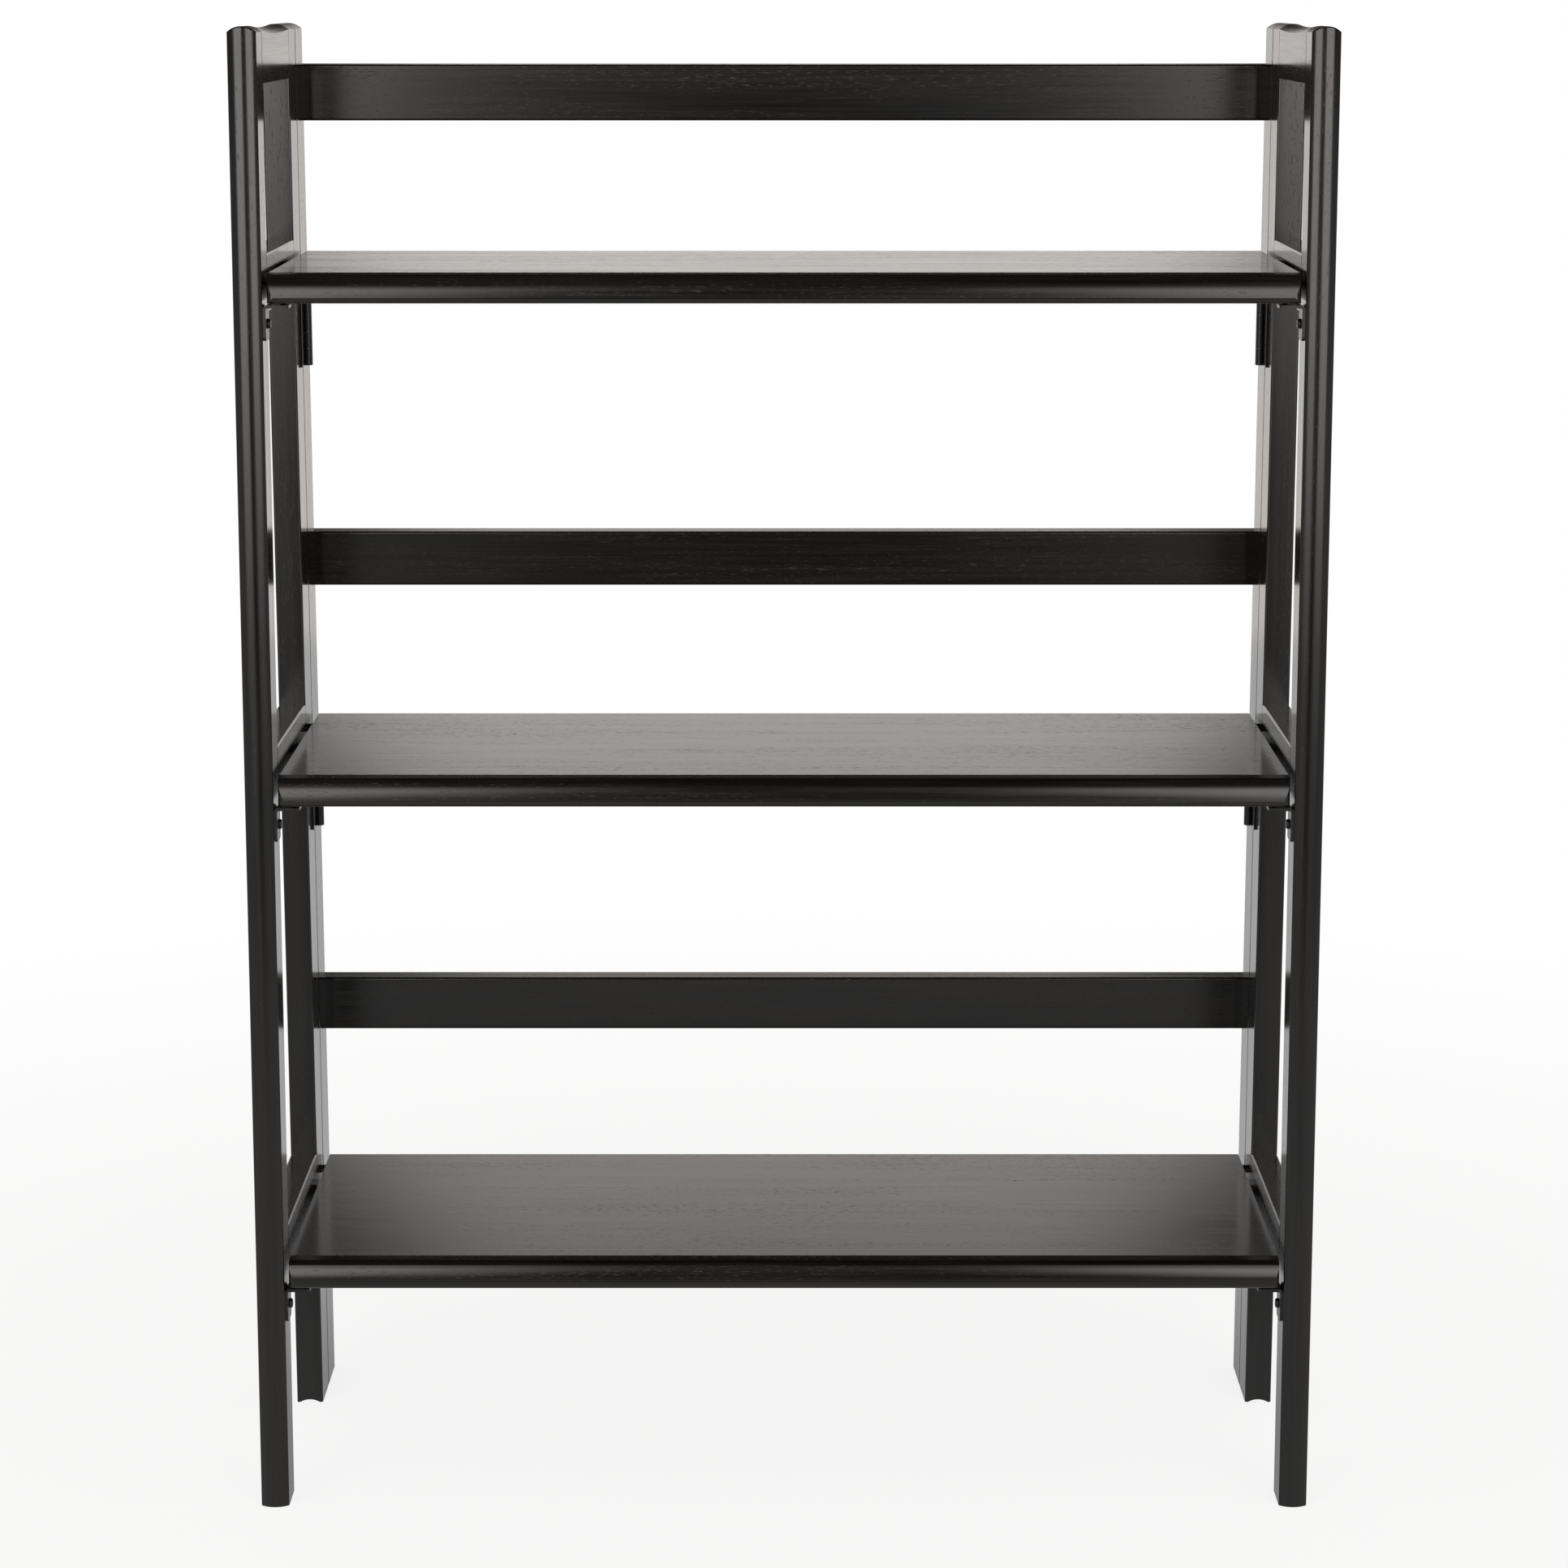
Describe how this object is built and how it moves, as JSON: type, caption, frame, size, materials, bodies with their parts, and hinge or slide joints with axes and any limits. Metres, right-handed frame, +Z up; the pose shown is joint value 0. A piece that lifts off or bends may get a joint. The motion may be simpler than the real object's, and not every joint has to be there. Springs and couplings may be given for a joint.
{
  "type": "folding bookcase",
  "caption": "Open wooden bookcase whose shelves fold up against a slatted back and rest on steel brackets in hinged ladder sides.",
  "frame": {"origin": "on the floor, midway across the width and midway from the front of the front feet to the back of the rear feet", "axes": "+X to the right as seen from the front, +Y towards the back, +Z up"},
  "size_m": [0.6984, 0.28, 0.9754],
  "materials": {
    "stained_wood": "espresso stain under satin lacquer",
    "black_steel": "black plated steel, satin",
    "bare_steel": "zinc-plated steel",
    "pin_steel": "plain ground steel"
  },
  "bodies": {
    "back_frame": {"left_stile": "stained_wood", "right_stile": "stained_wood", "bottom_slat": "stained_wood", "middle_slat": "stained_wood", "top_slat": "stained_wood", "left_bottom_stile_leaf": "black_steel", "left_middle_stile_leaf": "black_steel", "left_top_stile_leaf": "black_steel", "left_stile_leaf_screws": "black_steel", "left_hinge_pins": "pin_steel", "left_pivot_pins": "pin_steel", "right_bottom_stile_leaf": "black_steel", "right_middle_stile_leaf": "black_steel", "right_top_stile_leaf": "black_steel", "right_stile_leaf_screws": "black_steel", "right_hinge_pins": "pin_steel", "right_pivot_pins": "pin_steel"},
    "left_side": {"left_front_post": "stained_wood", "left_rear_post": "stained_wood", "left_top_rail": "stained_wood", "left_bottom_rung": "stained_wood", "left_middle_rung": "stained_wood", "left_top_rung": "stained_wood", "left_bottom_post_leaf": "black_steel", "left_middle_post_leaf": "black_steel", "left_top_post_leaf": "black_steel", "left_post_leaf_screws": "black_steel", "left_bottom_bracket": "black_steel", "left_middle_bracket": "black_steel", "left_top_bracket": "black_steel", "left_bracket_screws": "black_steel", "left_rest_studs": "bare_steel"},
    "right_side": {"right_front_post": "stained_wood", "right_rear_post": "stained_wood", "right_top_rail": "stained_wood", "right_bottom_rung": "stained_wood", "right_middle_rung": "stained_wood", "right_top_rung": "stained_wood", "right_bottom_post_leaf": "black_steel", "right_middle_post_leaf": "black_steel", "right_top_post_leaf": "black_steel", "right_post_leaf_screws": "black_steel", "right_bottom_bracket": "black_steel", "right_middle_bracket": "black_steel", "right_top_bracket": "black_steel", "right_bracket_screws": "black_steel", "right_rest_studs": "bare_steel"},
    "bottom_shelf": {"bottom_shelf": "stained_wood"},
    "middle_shelf": {"middle_shelf": "stained_wood"},
    "top_shelf": {"top_shelf": "stained_wood"}
  },
  "joints": [
    {"name": "bottom_shelf_fold", "type": "hinge", "parent": "back_frame", "child": "bottom_shelf", "pos_m": [0, 0.10475, 0.16105], "axis": [-1, 0, 0], "range_deg": [0, 88]},
    {"name": "middle_shelf_fold", "type": "hinge", "parent": "back_frame", "child": "middle_shelf", "pos_m": [0, 0.09385, 0.4863], "axis": [-1, 0, 0], "range_deg": [0, 88]},
    {"name": "top_shelf_fold", "type": "hinge", "parent": "back_frame", "child": "top_shelf", "pos_m": [0, 0.08294, 0.81155], "axis": [-1, 0, 0], "range_deg": [0, 88]},
    {"name": "left_side_fold", "type": "hinge", "parent": "back_frame", "child": "left_side", "pos_m": [-0.32725, 0.1, 0], "axis": [0, -0.0335, 0.9994], "range_deg": [0, 0.6]},
    {"name": "right_side_fold", "type": "hinge", "parent": "back_frame", "child": "right_side", "pos_m": [0.32725, 0.1, 0], "axis": [0, 0.0335, -0.9994], "range_deg": [0, 0.6]}
  ]
}
